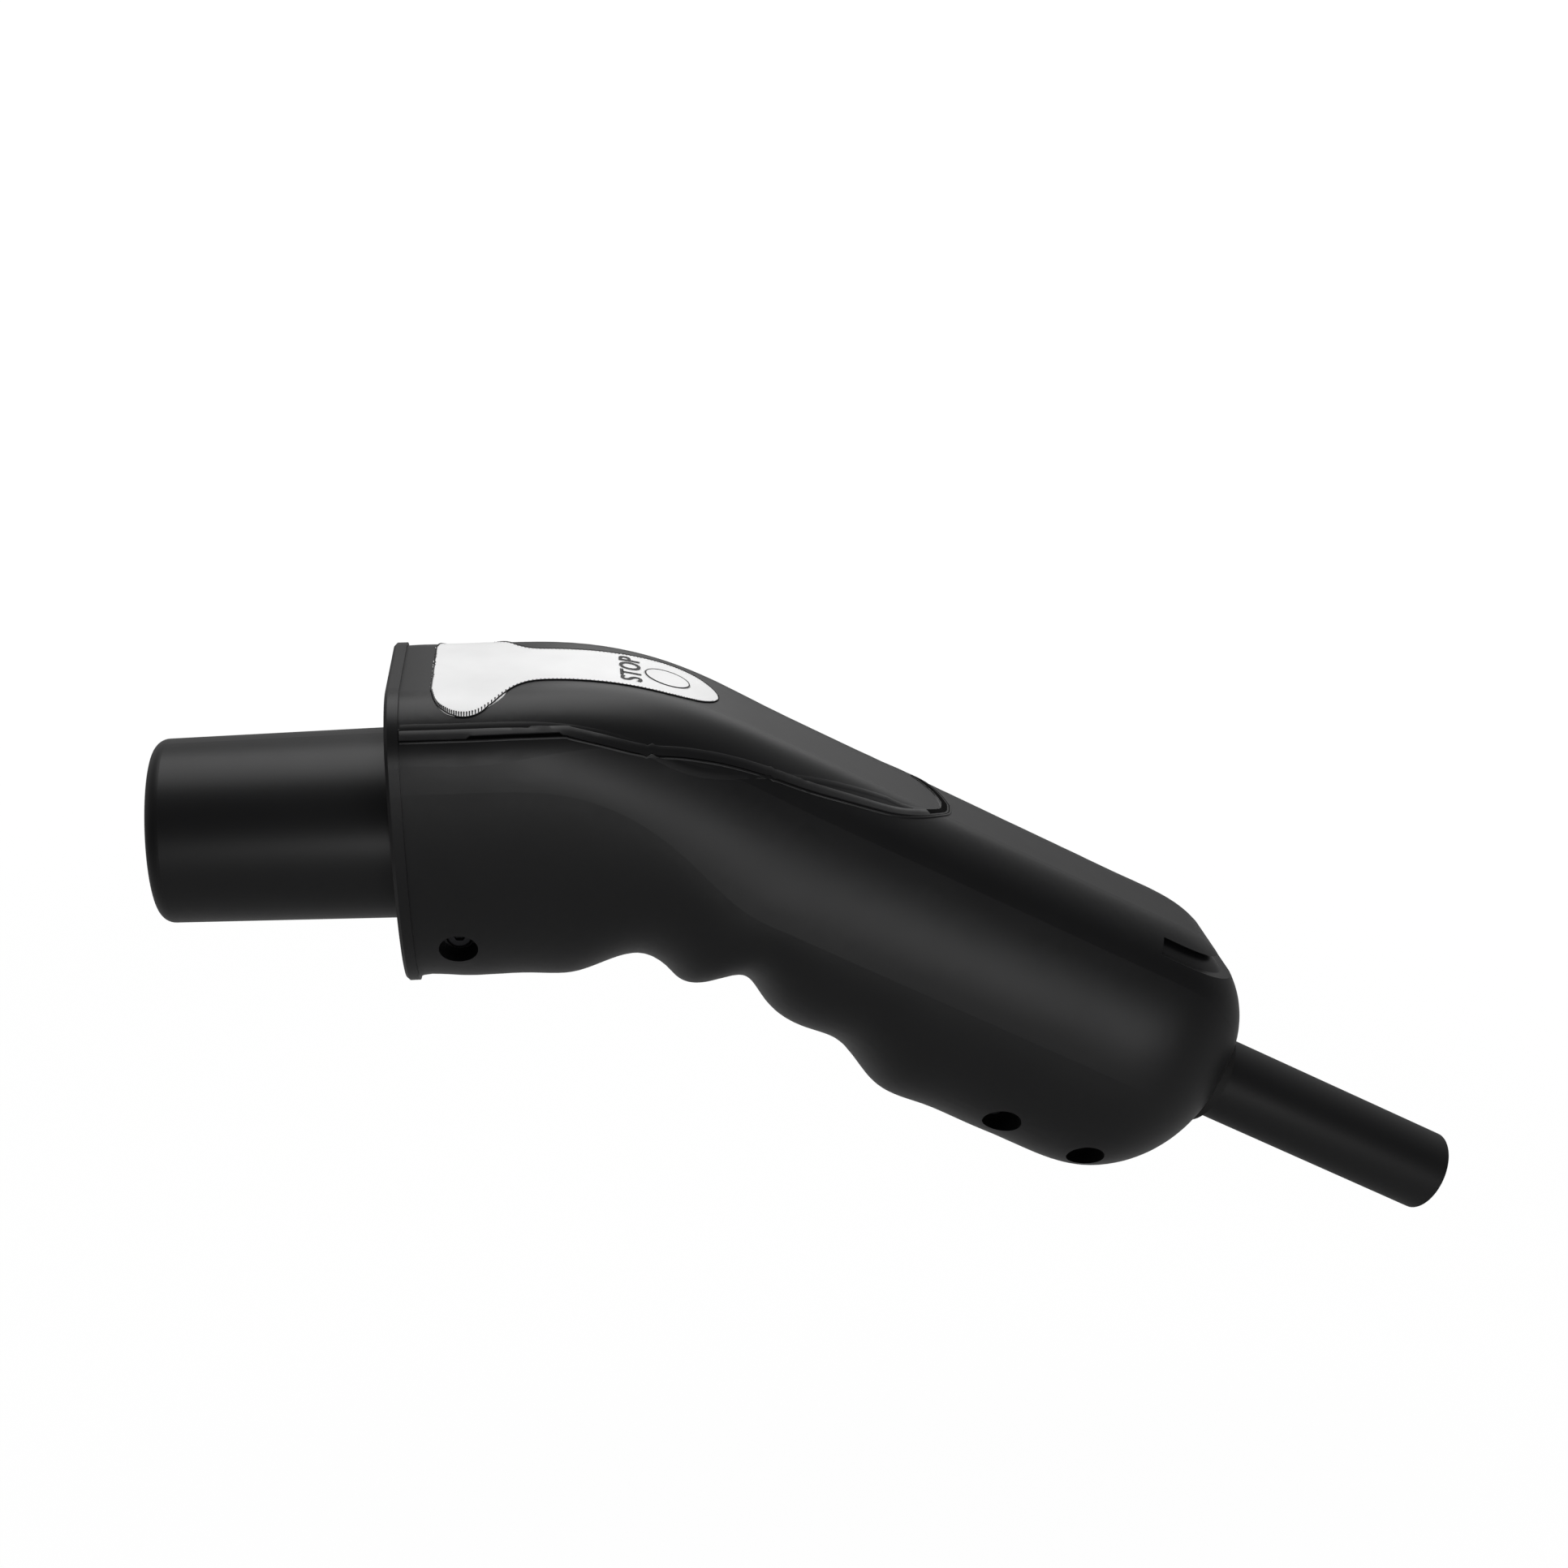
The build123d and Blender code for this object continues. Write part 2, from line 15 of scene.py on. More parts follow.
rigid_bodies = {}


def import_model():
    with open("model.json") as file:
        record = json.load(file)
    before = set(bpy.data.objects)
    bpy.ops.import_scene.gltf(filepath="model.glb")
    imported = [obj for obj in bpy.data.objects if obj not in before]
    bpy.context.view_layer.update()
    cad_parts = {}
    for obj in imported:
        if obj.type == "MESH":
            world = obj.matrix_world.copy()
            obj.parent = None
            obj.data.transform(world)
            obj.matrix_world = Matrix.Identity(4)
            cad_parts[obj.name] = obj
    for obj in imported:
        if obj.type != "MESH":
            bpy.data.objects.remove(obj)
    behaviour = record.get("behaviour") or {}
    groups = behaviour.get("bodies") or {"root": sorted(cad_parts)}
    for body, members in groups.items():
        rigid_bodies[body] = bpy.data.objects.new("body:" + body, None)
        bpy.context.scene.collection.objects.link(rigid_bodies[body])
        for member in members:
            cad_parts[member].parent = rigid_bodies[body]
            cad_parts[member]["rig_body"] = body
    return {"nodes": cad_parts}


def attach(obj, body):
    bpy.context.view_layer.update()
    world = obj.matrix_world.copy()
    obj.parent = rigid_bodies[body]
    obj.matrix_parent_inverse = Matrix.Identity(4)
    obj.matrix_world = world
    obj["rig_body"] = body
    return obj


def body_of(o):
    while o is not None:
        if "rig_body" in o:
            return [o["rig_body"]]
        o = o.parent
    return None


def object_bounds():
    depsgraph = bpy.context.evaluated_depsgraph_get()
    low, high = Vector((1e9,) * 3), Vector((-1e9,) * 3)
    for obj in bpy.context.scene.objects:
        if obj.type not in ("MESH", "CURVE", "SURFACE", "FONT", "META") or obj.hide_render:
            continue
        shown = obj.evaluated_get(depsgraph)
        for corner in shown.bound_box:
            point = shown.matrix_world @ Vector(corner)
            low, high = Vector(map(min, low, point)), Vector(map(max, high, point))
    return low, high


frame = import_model()
cad_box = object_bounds()
nodes = frame["nodes"]
scene = bpy.context.scene
scene.view_settings.view_transform = "Standard"
mm = 0.001
print("nodes:", len(nodes), "box:", cad_box)

# %% [markdown]
# ## Camera
# A product view is taken with a mild telephoto lens, a little behind and above the side
# of the plug, so that its length, its top plate and its cable all show. The place and
# turn could come from a Track To constraint, but a few named numbers are plainer.

# %% Camera
camera_place = Vector((36.4, -446.7, 179.1)) * mm
camera_turn = (math.radians(68.88), math.radians(-0.095), math.radians(-6.13))
camera_data = bpy.data.cameras.new("camera")
camera_data.lens = 49.8
camera_data.sensor_width = 36.0
camera = bpy.data.objects.new("camera", camera_data)
camera.location = camera_place
camera.rotation_euler = camera_turn
scene.collection.objects.link(camera)
scene.camera = camera
print("camera to nose:", round(camera_place.length / mm), "mm")


# %% [markdown]
# ## Colours and nodes
# Colours are written as sRGB hex values, as a paint chart gives them, and one function
# turns them to the linear numbers that the shader wants. A second small function adds a
# node with its settings and links, so that each material below reads like a recipe.

# %% Colour and node helpers
def linear(hex_colour):
    """sRGB hex to linear RGBA."""
    values = [int(hex_colour[i:i + 2], 16) / 255 for i in (1, 3, 5)]
    flat = [v / 12.92 if v <= 0.04045 else ((v + 0.055) / 1.055) ** 2.4 for v in values]
    return (*flat, 1.0)


def node(tree, kind, settings=None, values=None, links=None):
    """Add a node: settings are its options, values its sockets, links its inputs."""
    made = tree.nodes.new(kind)
    for name, value in (settings or {}).items():
        setattr(made, name, value)
    for name, value in (values or {}).items():
        made.inputs[name].default_value = value
    for name, source in (links or {}).items():
        tree.links.new(source, made.inputs[name])
    return made


def new_material(name):
    """An empty material, its tree, its shader and its Object coordinates."""
    material = bpy.data.materials.new(name)
    material.use_nodes = True
    tree = material.node_tree
    shader = tree.nodes["Principled BSDF"]
    place = node(tree, "ShaderNodeTexCoord").outputs["Object"]
    return material, tree, shader, place


def wear(piece_name, material):
    """Give a node of the frame one finish all over."""
    data = nodes[piece_name].data
    data.materials.clear()
    data.materials.append(material)


# %% [markdown]
# ## Black moulded housing
# The housing is PC/ABS, injected into a spark-eroded mould. That leaves a fine satin
# grain, about a quarter of a millimetre across, and a broad soft highlight. The grain is
# a small bump from a noise pattern, and a slower noise varies the roughness, because the
# plastic never flows quite evenly.

# %% Moulded plastic
def moulded_plastic(name, colour, roughness, grain_mm, grain_height, gloss=0.3):
    material, tree, shader, place = new_material(name)
    base = linear(colour)
    cloud = node(tree, "ShaderNodeTexNoise", values={"Scale": 1000 / 14.0, "Detail": 2.0},
                 links={"Vector": place})
    tint = node(tree, "ShaderNodeMix", {"data_type": "RGBA"},
                links={"Factor": cloud.outputs["Fac"]})
    tint.inputs[6].default_value = tuple(c * 0.9 for c in base[:3]) + (1.0,)
    tint.inputs[7].default_value = tuple(c * 1.1 for c in base[:3]) + (1.0,)
    tree.links.new(tint.outputs[2], shader.inputs["Base Color"])
    shine = node(tree, "ShaderNodeMapRange",
                 values={"To Min": roughness - 0.03, "To Max": roughness + 0.03},
                 links={"Value": cloud.outputs["Fac"]})
    tree.links.new(shine.outputs["Result"], shader.inputs["Roughness"])
    grain = node(tree, "ShaderNodeTexNoise", values={"Scale": 1000 / grain_mm, "Detail": 1.0},
                 links={"Vector": place})
    bump = node(tree, "ShaderNodeBump", values={"Strength": 0.25, "Distance": grain_height * mm},
                links={"Height": grain.outputs["Fac"]})
    tree.links.new(bump.outputs["Normal"], shader.inputs["Normal"])
    shader.inputs["IOR"].default_value = 1.5
    shader.inputs["Specular IOR Level"].default_value = gloss
    return material


black_housing = moulded_plastic("pc_abs_black_satin", "#131314", 0.4, 0.25, 0.01)
nose_plastic = moulded_plastic("pbt_black_nose", "#131314", 0.4, 0.3, 0.01)
insulator = moulded_plastic("glass_filled_nylon", "#262627", 0.6, 0.4, 0.02)
white_plate = moulded_plastic("abs_white_plate", "#f4f4f4", 0.35, 0.4, 0.004)
button_cap = moulded_plastic("abs_white_button", "#f4f4f4", 0.35, 0.4, 0.004)
cable_sheath = moulded_plastic("tpu_black_sheath", "#121213", 0.5, 0.35, 0.01)
grommet_rubber = moulded_plastic("epdm_rubber", "#161616", 0.65, 0.4, 0.02)
for piece in ("left_shell", "right_shell", "top_cover", "front_flange"):
    wear(piece, black_housing)
wear("nose_barrel", nose_plastic)
for piece in ("contact_carrier", "contact_retainer", "stop_switch", "cable_clamp_left",
              "cable_clamp_right"):
    wear(piece, insulator)
wear("inlay_plate", white_plate)
wear("stop_button", button_cap)
wear("cable_jacket", cable_sheath)
wear("cable_grommet", grommet_rubber)


# %% [markdown]
# ## Metals
# Contacts are silver-plated copper, screws are zinc-plated steel and the inserts are
# brass. A metal takes its colour from its reflection, so each one is fully metallic with
# the default IOR, and a noise over the piece breaks up its gloss as turning and plating
# do.

# %% Metals
def metal(name, colour, roughness, streak_mm):
    material, tree, shader, place = new_material(name)
    shader.inputs["Base Color"].default_value = linear(colour)
    shader.inputs["Metallic"].default_value = 1.0
    streak = node(tree, "ShaderNodeTexNoise", values={"Scale": 1000 / streak_mm},
                  links={"Vector": place})
    shine = node(tree, "ShaderNodeMapRange",
                 values={"To Min": roughness - 0.08, "To Max": roughness + 0.08},
                 links={"Value": streak.outputs["Fac"]})
    tree.links.new(shine.outputs["Result"], shader.inputs["Roughness"])
    return material


silver_plate = metal("silver_plated_copper", "#d9d6cc", 0.28, 0.8)
oxide_steel = metal("black_oxide_steel", "#2a2a2c", 0.4, 0.6)
zinc_steel = metal("zinc_plated_steel", "#b4b6b8", 0.35, 0.6)
brass = metal("turned_brass", "#c9a35a", 0.3, 0.6)
spring_wire = metal("drawn_spring_steel", "#9c9ea1", 0.3, 0.4)
for name in nodes:
    if name.endswith("_contact") or name.startswith("power_contact"):
        wear(name, silver_plate)
    elif name.startswith("shell_screw"):
        wear(name, oxide_steel)
    elif name.startswith("clamp_screw"):
        wear(name, zinc_steel)
    elif name.startswith("threaded_insert"):
        wear(name, brass)
wear("button_spring", spring_wire)

# %% [markdown]
# ## Core insulation and circuit board
# The cores are coloured PVC, which is smooth from the extruder. The board is glass fibre
# under green lacquer.

# %% Cores and board
core_colours = {"line_core": "#6b3f22", "neutral_core": "#2456b8", "earth_core": "#4f9a2c",
                "pilot_core": "#c9c9c4", "proximity_core": "#c46a1a"}
for name, colour in core_colours.items():
    wear(name, moulded_plastic("pvc_" + name, colour, 0.45, 0.5, 0.005))
wear("control_board", moulded_plastic("fr4_green_lacquer", "#1d5a33", 0.4, 0.5, 0.01))

# %% [markdown]
# ## Measuring the housing
# Thin trim has to follow the housing's doubly curved skin. A ray dropped from above finds
# the height of the skin at any place. Narrow gaps would swallow a ray, so two rays are
# dropped either side of the place in four directions, and the highest mean is kept.

# %% Skin height
skin_nodes = ("top_cover", "inlay_plate", "left_shell", "right_shell")
ray_start = 0.1
no_skin = -1.0
upward = 0.1


def tree_of(name):
    """A search tree of one node's faces, in the frame's own place."""
    mesh = bmesh.new()
    mesh.from_mesh(nodes[name].data)
    made = BVHTree.FromBMesh(mesh)
    mesh.free()
    return made


skin_trees = {name: tree_of(name) for name in skin_nodes}


def upper_skin():
    """One tree of the faces that look up and out, without the walls of the gaps."""
    mesh = bmesh.new()
    for name in skin_nodes:
        mesh.from_mesh(nodes[name].data)
    mesh.normal_update()
    hidden = [face for face in mesh.faces if face.normal.z < upward]
    bmesh.ops.delete(mesh, geom=hidden, context="FACES")
    made = BVHTree.FromBMesh(mesh)
    mesh.free()
    return made


upper_tree = upper_skin()


def nearest(point):
    """Nearest place on the upper skin and its normal."""
    spot, normal, _, _ = upper_tree.find_nearest(point)
    return spot, normal


def drop(x, y, names=skin_nodes):
    """Height of the highest of some nodes under a point of the plan, in metres."""
    found = [skin_trees[name].ray_cast(Vector((x, y, ray_start)), Vector((0, 0, -1)))[0]
             for name in names]
    return max((spot.z for spot in found if spot), default=no_skin)


def skin(x, y, step=0.5 * mm):
    """Height of the skin, bridged over the gaps."""
    means = []
    for dx, dy in ((1, 0), (0, 1), (0.7, 0.7), (0.7, -0.7)):
        means.append((drop(x + dx * step, y + dy * step) + drop(x - dx * step, y - dy * step)) / 2)
    return max(means)


def smooth(points, x):
    """A smooth line through a few points, for a width that changes along a piece."""
    if x <= points[0][0]:
        return points[0][1]
    for i in range(len(points) - 1):
        (x0, y0), (x1, y1) = points[i], points[i + 1]
        if x <= x1:
            before = points[max(i - 1, 0)]
            after = points[min(i + 2, len(points) - 1)]
            m0 = (y1 - before[1]) / (x1 - before[0])
            m1 = (after[1] - y0) / (after[0] - x0)
            h, t = x1 - x0, (x - x0) / (x1 - x0)
            return ((2 * t**3 - 3 * t**2 + 1) * y0 + (t**3 - 2 * t**2 + t) * h * m0
                    + (3 * t**2 - 2 * t**3) * y1 + (t**3 - t**2) * h * m1)
    return points[-1][1]


# The skin is known now, and one height near the front shows that the rays find it.
print("skin over the nose end of the plate:", round(skin(0.02, 0) / mm, 2), "mm")


# %% [markdown]
# ## Building a piece
# Each added piece is made with Blender's own operators. Three short functions select it,
# apply a modifier to it, and give it its finish and the body that it moves with.

# %% Piece helpers
def only(thing):
    """Select one object alone and make it active."""
    bpy.ops.object.select_all(action="DESELECT")
    thing.select_set(True)
    bpy.context.view_layer.objects.active = thing


def apply_modifier(thing, kind, **settings):
    """Add one modifier, set it and apply it."""
    only(thing)
    modifier = thing.modifiers.new(kind.lower(), kind)
    for name, value in settings.items():
        setattr(modifier, name, value)
    bpy.ops.object.modifier_apply(modifier=modifier.name)


def finish_piece(thing, material, body):
    """Give a new piece its finish and let it ride on a body."""
    thing.data.materials.clear()
    thing.data.materials.append(material)
    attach(thing, body)
    print(thing.name, len(thing.data.polygons), "faces")


# %% [markdown]
# ## White plate
# The label plate is a thin film of white ABS that is moulded over its carrier: two wide
# lobes by the flange and a narrow strip that runs back round the button. It could be cut
# from the carrier's own mesh, but a grid is better here, because every row of it can be
# set to the plate's width at that place and dropped onto the skin. A Solidify gives it
# its thickness. Its edge stays sharp, because a black bead that paints the shade of the
# gap round it is laid along it later.

# %% Plate film
plate_widths = [(9.4, 15.0), (10.4, 19.8), (12.3, 22.1), (14.6, 23.2), (17.0, 23.4),
                (19.5, 22.7), (22.0, 20.7), (24.7, 17.4), (27.2, 13.9), (29.6, 11.8),
                (33.0, 10.9), (45.0, 10.75), (57.0, 10.75), (62.0, 10.1), (66.0, 8.3),
                (68.7, 5.2), (69.9, 2.4), (70.2, 0.8)]
film_proud = 0.14 * mm
film_thickness = 0.3 * mm
hole_radius = 5.28 * mm
level_margin = 1.2 * mm
flat_margin = 1.5 * mm
rim_depth = 0.1 * mm
button_tilt = math.radians(18.4)
button_axis = Vector((math.sin(button_tilt), 0, math.cos(button_tilt)))
cap_points = [vertex.co for vertex in nodes["stop_button"].data.vertices]
button_body = body_of(nodes["stop_button"])[0]
print("the button rides on", button_body)
cap_top = max(point.dot(button_axis) for point in cap_points)
rim_points = [point for point in cap_points if point.dot(button_axis) > cap_top - rim_depth]
button_centre = sum(rim_points, Vector()) / len(rim_points)
print("button centre, mm:", [round(v / mm, 1) for v in button_centre])


def plate_height(x, y):
    """Height of the skin under the film, carried level across the button hole."""
    off = x - button_centre.x
    reach = hole_radius + level_margin
    if off**2 + y**2 < reach**2:
        side = math.sqrt(reach**2 - off**2)
        return (skin(x, side) + skin(x, -side)) / 2
    return skin(x, y)


def plate_row(share):
    """Rows of the plate lie closer together at its two ends."""
    start, end = plate_widths[0][0], plate_widths[-1][0]
    return start + (end - start) * (0.5 - 0.5 * math.cos(math.pi * share))


rows, across = 110, 48
bpy.ops.object.select_all(action="DESELECT")
bpy.ops.mesh.primitive_grid_add(x_subdivisions=rows, y_subdivisions=across, size=2)
film = bpy.context.object
film.name = "plate_film"
for vertex in film.data.vertices:
    x = plate_row((vertex.co.x + 1) / 2)
    y = vertex.co.y * smooth(plate_widths, x) * mm
    place = Vector((x * mm, y, plate_height(x * mm, y)))
    if (place - button_centre).length > hole_radius + flat_margin:
        spot, up = nearest(place)
        vertex.co = spot + up * film_proud
    else:
        vertex.co = place + button_axis * film_proud
film_edge = film.copy()
film_edge.data = film.data.copy()
scene.collection.objects.link(film_edge)
apply_modifier(film, "SOLIDIFY", thickness=film_thickness, offset=-1.0)

# %% Button hole in the film
bpy.ops.mesh.primitive_cylinder_add(vertices=96, radius=hole_radius, depth=8 * mm,
                                    location=button_centre, rotation=(0, button_tilt, 0))
cutter = bpy.context.object
apply_modifier(film, "BOOLEAN", operation="DIFFERENCE", object=cutter, solver="EXACT")
bpy.data.objects.remove(cutter)
only(film)
bpy.ops.object.shade_smooth_by_angle(angle=math.radians(30))
finish_piece(film, white_plate, "housing")

# %% [markdown]
# ## Painted shade round the plate and the button
# The gap round the plate and the one round the button are dark with shade, and read as
# fine black lines. A gap that thin is lost at most sizes, so its shade is painted: a black
# bead a third of a millimetre across is laid in it. The film's own border is the path round
# the plate: its edge is kept, turned to a curve and given a round bevel. Round the button
# the bead is a torus.

# %% Beads of painted shade
# Beads in the housing's black, laid where the gaps hold only shade: painted shade.
shade_bead_radius = 0.17 * mm
shade_ring_radius = 4.95 * mm
shade_ring_sunk = 0.03 * mm
film_edge.name = "plate_shade_bead"
only(film_edge)
bpy.ops.object.mode_set(mode="EDIT")
bpy.ops.mesh.select_all(action="SELECT")
bpy.ops.mesh.region_to_loop()
bpy.ops.mesh.select_all(action="INVERT")
bpy.ops.mesh.delete(type="EDGE_FACE")
bpy.ops.object.mode_set(mode="OBJECT")
bpy.ops.object.convert(target="CURVE")
shade_bead = bpy.context.object
shade_bead.data.bevel_depth = shade_bead_radius
shade_bead.data.bevel_resolution = 1
bpy.ops.object.convert(target="MESH")
shade_bead = bpy.context.object
only(shade_bead)
bpy.ops.object.shade_smooth()
finish_piece(shade_bead, black_housing, "housing")
# A torus of painted shade in the gap round the button.
bpy.ops.object.select_all(action="DESELECT")
bpy.ops.mesh.primitive_torus_add(location=(0, 0, 0), major_radius=shade_ring_radius,
                                 minor_radius=shade_bead_radius, major_segments=96,
                                 minor_segments=8)
shade_ring = bpy.context.object
shade_ring.name = "button_shade_bead"
shade_ring.data.transform(Matrix.Translation(button_centre - button_axis * shade_ring_sunk)
                    @ Matrix.Rotation(button_tilt, 4, "Y"))
bpy.ops.object.shade_smooth()
finish_piece(shade_ring, black_housing, button_body)

# %% [markdown]
# ## Printed word
# The button carries the one word that says what it does, pad-printed in black ink beside
# it. A text object gives the letters, which are turned to a mesh, laid along the plate
# and dropped onto it point by point, so that they follow its bend. The letters are flat
# and lie a little over the film, clear of its facets.

# %% Word
cap_height = 4.8 * mm
word_width = 16.2 * mm
word_foot = 53.6 * mm
word_middle = 0.8 * mm
print_height = 0.16 * mm
word_slope = math.radians(13)
bpy.ops.object.select_all(action="DESELECT")
bpy.ops.object.text_add(location=(0, 0, 0))
word = bpy.context.object
word.name = "stop_word"
word.data.body = "STOP"
word.data.space_character = 1.06
word.data.offset = 0.014
word.data.resolution_u = 6
bpy.ops.object.convert(target="MESH")
word = bpy.context.object
xs = [vertex.co.x for vertex in word.data.vertices]
ys = [vertex.co.y for vertex in word.data.vertices]
bpy.ops.object.mode_set(mode="EDIT")
bpy.ops.mesh.select_all(action="SELECT")
bpy.ops.mesh.subdivide(number_cuts=1)
bpy.ops.object.mode_set(mode="OBJECT")
for vertex in word.data.vertices:
    along = (vertex.co.x - (min(xs) + max(xs)) / 2) / (max(xs) - min(xs)) * word_width
    up = (vertex.co.y - min(ys)) / (max(ys) - min(ys)) * cap_height
    x, y = word_foot - up * math.cos(word_slope), word_middle + along
    vertex.co = Vector((x, y, plate_height(x, y) + film_proud + print_height))
printing_ink = moulded_plastic("pad_printing_ink", "#0c0c0d", 0.5, 0.5, 0.002)
finish_piece(word, printing_ink, "housing")

# %% [markdown]
# ## Strips along a seam
# The lip, the strip of painted gap shade and the rounded edge of the shells all follow the same
# seam.
# One function sweeps a small profile along a path on the skin: the profile is a list of
# places across the seam, each with a distance from the path and a height over the skin.
# The nearest point of the skin is looked up for each, so that no strip floats or sinks.
# A Solidify then makes the strip a closed body, and Mirror makes the other side.

# %% Strip helper
def through(points, count):
    """Evenly spread places on a smooth line through a few points."""
    line = []
    steps = 24
    for i in range(len(points) - 1):
        p0, p1 = points[max(i - 1, 0)], points[i]
        p2, p3 = points[i + 1], points[min(i + 2, len(points) - 1)]
        for step in range(steps):
            t = step / steps
            line.append(0.5 * (2 * p1 + (p2 - p0) * t + (2 * p0 - 5 * p1 + 4 * p2 - p3) * t**2
                               + (3 * p1 - 3 * p2 + p3 - p0) * t**3))
    line.append(points[-1])
    lengths = [0.0]
    for before, after in zip(line, line[1:]):
        lengths.append(lengths[-1] + (after - before).length)
    spread = []
    for k in range(count):
        wanted = lengths[-1] * k / (count - 1)
        i = max(j for j in range(len(lengths) - 1) if lengths[j] <= wanted + 1e-12)
        share = (wanted - lengths[i]) / max(lengths[i + 1] - lengths[i], 1e-12)
        spread.append(line[i].lerp(line[i + 1], min(share, 1.0)))
    return spread


def seam_strip(name, path, profile, thickness_mm, material):
    """Sweep a profile along a path; profile(x_mm) gives places across and heights."""
    count, across = len(path), len(profile(path[0].x / mm))
    frames = []
    for i, place in enumerate(path):
        along = (path[min(i + 1, count - 1)] - path[max(i - 1, 0)]).normalized()
        spot, up = nearest(place)
        over = up.cross(along).normalized()
        tilts = [nearest(place + over * reach * mm)[1] for reach in (1.4, -1.4)]
        up = sum(tilts, Vector()).normalized()
        frames.append((spot, along, up))
    bpy.ops.object.select_all(action="DESELECT")
    bpy.ops.mesh.primitive_grid_add(x_subdivisions=count - 1, y_subdivisions=across - 1, size=2)
    strip = bpy.context.object
    strip.name = name
    for vertex in strip.data.vertices:
        i = round((vertex.co.x + 1) / 2 * (count - 1))
        j = round((vertex.co.y + 1) / 2 * (across - 1))
        spot, along, _ = frames[i]
        up = sum((frames[k][2] for k in range(max(i - 2, 0), min(i + 3, count))),
                 Vector()).normalized()
        reach, height = profile(spot.x / mm)[j]
        over = up.cross(along).normalized()
        vertex.co = nearest(spot + over * reach * mm)[0] + up * height * mm
    apply_modifier(strip, "SOLIDIFY", thickness=thickness_mm * mm, offset=-1.0)
    apply_modifier(strip, "MIRROR", use_axis=(False, True, False), use_mirror_merge=False)
    bpy.ops.object.mode_set(mode="EDIT")
    bpy.ops.mesh.select_all(action="SELECT")
    bpy.ops.mesh.normals_make_consistent(inside=False)
    bpy.ops.object.mode_set(mode="OBJECT")
    bpy.ops.object.shade_smooth_by_angle(angle=math.radians(35))
    finish_piece(strip, material, "housing")


# %% [markdown]
# ## Covering band over the joint of the solids
# The cover of the frame ends along a plain outline, and the finished plug's visible seam
# runs a few millimetres from it. A thin band with feathered edges bridges the joint of
# the solids first, so that the skin is whole and only the modelled seam shows.

# %% Joint band
joint = []
joint_gap = 0.17 * mm
joint_start, joint_step = 3.3, 1.45
cover_reach = 26 * mm
wide_of_cover = 26.5 * mm
search_step = 0.05 * mm
toward_middle = 0.985
for k in range(70):
    x = (joint_start + k * joint_step) * mm
    y = wide_of_cover
    while y > 0 and drop(x, y, ("top_cover",)) == no_skin:
        y -= search_step
    joint.append(Vector((x, -y - joint_gap, 0)))
end_centre = joint[-1].x
for k in range(1, 19):
    turn = math.radians(90 - 5 * k)
    reach = cover_reach
    while reach > 0 and drop(end_centre + reach * math.cos(turn), -reach * math.sin(turn),
                             ("top_cover",)) == no_skin:
        reach -= search_step
    reach += joint_gap
    joint.append(Vector((end_centre + reach * math.cos(turn), -reach * math.sin(turn), 0)))
joint = [Vector((p.x, p.y, drop(p.x, p.y * toward_middle))) for p in joint]
joint = [nearest(p)[0] for p in joint]
joint_profile = [(-1.0, -0.04), (-0.6, 0.05), (0.0, 0.06), (0.6, 0.05), (1.0, -0.04)]
seam_strip("joint_band", through(joint, 150), lambda x: joint_profile, 0.1, black_housing)

# %% [markdown]
# ## The cover's seam
# The seam leaves the flange level, dips at the bend and runs down the handle to a round
# end. Three strips make it: the cover's lip, which is turned out a little so that it
# faces up and catches the light, a near-black strip of painted shade that stands for the
# shadow in the gap and shows as a fine dark line, and the rounded edge of the shells under
# it. Where the lip is cut back, the gap is wider and so is its painted shade.

# %% Cover seam
seam_line = [(3.1, -26.4, 28.2), (17.2, -26.3, 28.1), (35.6, -25.8, 28.0), (37.6, -25.8, 27.7),
             (43.4, -25.8, 26.0), (52.7, -25.0, 23.2), (61.5, -23.8, 21.5), (70.0, -22.0, 19.0),
             (78.5, -20.6, 15.7), (88.5, -19.4, 11.1), (97.4, -18.3, 7.7), (106.6, -16.6, 4.0),
             (112.6, -14.2, 2.2), (117.6, -10.4, 0.8), (120.8, -5.8, -0.4), (121.9, 0.0, -1.2)]
seam = through([nearest(Vector(point) * mm)[0] for point in seam_line], 170)
lip_height = [(3.0, 0.42), (42.0, 0.42), (52.0, 0.3), (60.0, 0.14), (74.0, 0.12),
              (86.0, 0.34), (108.0, 0.36), (113.0, 0.08), (125.0, 0.08)]
edge_height = [(3.0, 0.05), (60.0, 0.06), (100.0, 0.12), (125.0, 0.2)]
cut_back = (17.2, 36.2)


def gap_top(x):
    """Upper border of the painted gap shade: wide where the lip is cut back."""
    return 0.72 if cut_back[0] < x < cut_back[1] else 0.13


def lip_profile(x):
    height, foot = smooth(lip_height, x), gap_top(x)
    return [(2.05, -0.04), (1.9, 0.05), ((1.9 + foot) / 2, 0.05 + height / 2),
            (foot + 0.05, height), (foot, height - 0.08), (foot - 0.02, -0.1)]


def gap_shade_profile(x):
    return [(gap_top(x) + 0.03, -0.05), (gap_top(x), 0.075), (-0.13, 0.075), (-0.16, -0.05)]


def edge_profile(x):
    height = smooth(edge_height, x)
    return [(-0.13, -0.04), (-0.2, height), (-0.4, height), (-0.6, -0.04)]


# A near-black, almost unreflecting strip: painted shade in the gap of the seam.
painted_gap_shade = moulded_plastic("painted_gap_shade_black", "#040404", 0.9, 0.4, 0.01, 0.05)
seam_strip("cover_lip", seam, lip_profile, 0.15, black_housing)
seam_strip("cover_gap_shade", seam, gap_shade_profile, 0.1, painted_gap_shade)
seam_strip("shell_edge", seam, edge_profile, 0.1, black_housing)

# %% [markdown]
# ## Painted shade in the gap at the cover's end
# Behind its round end the cover stands clear of the shells, and the shade in that gap is
# painted as a dark strip.

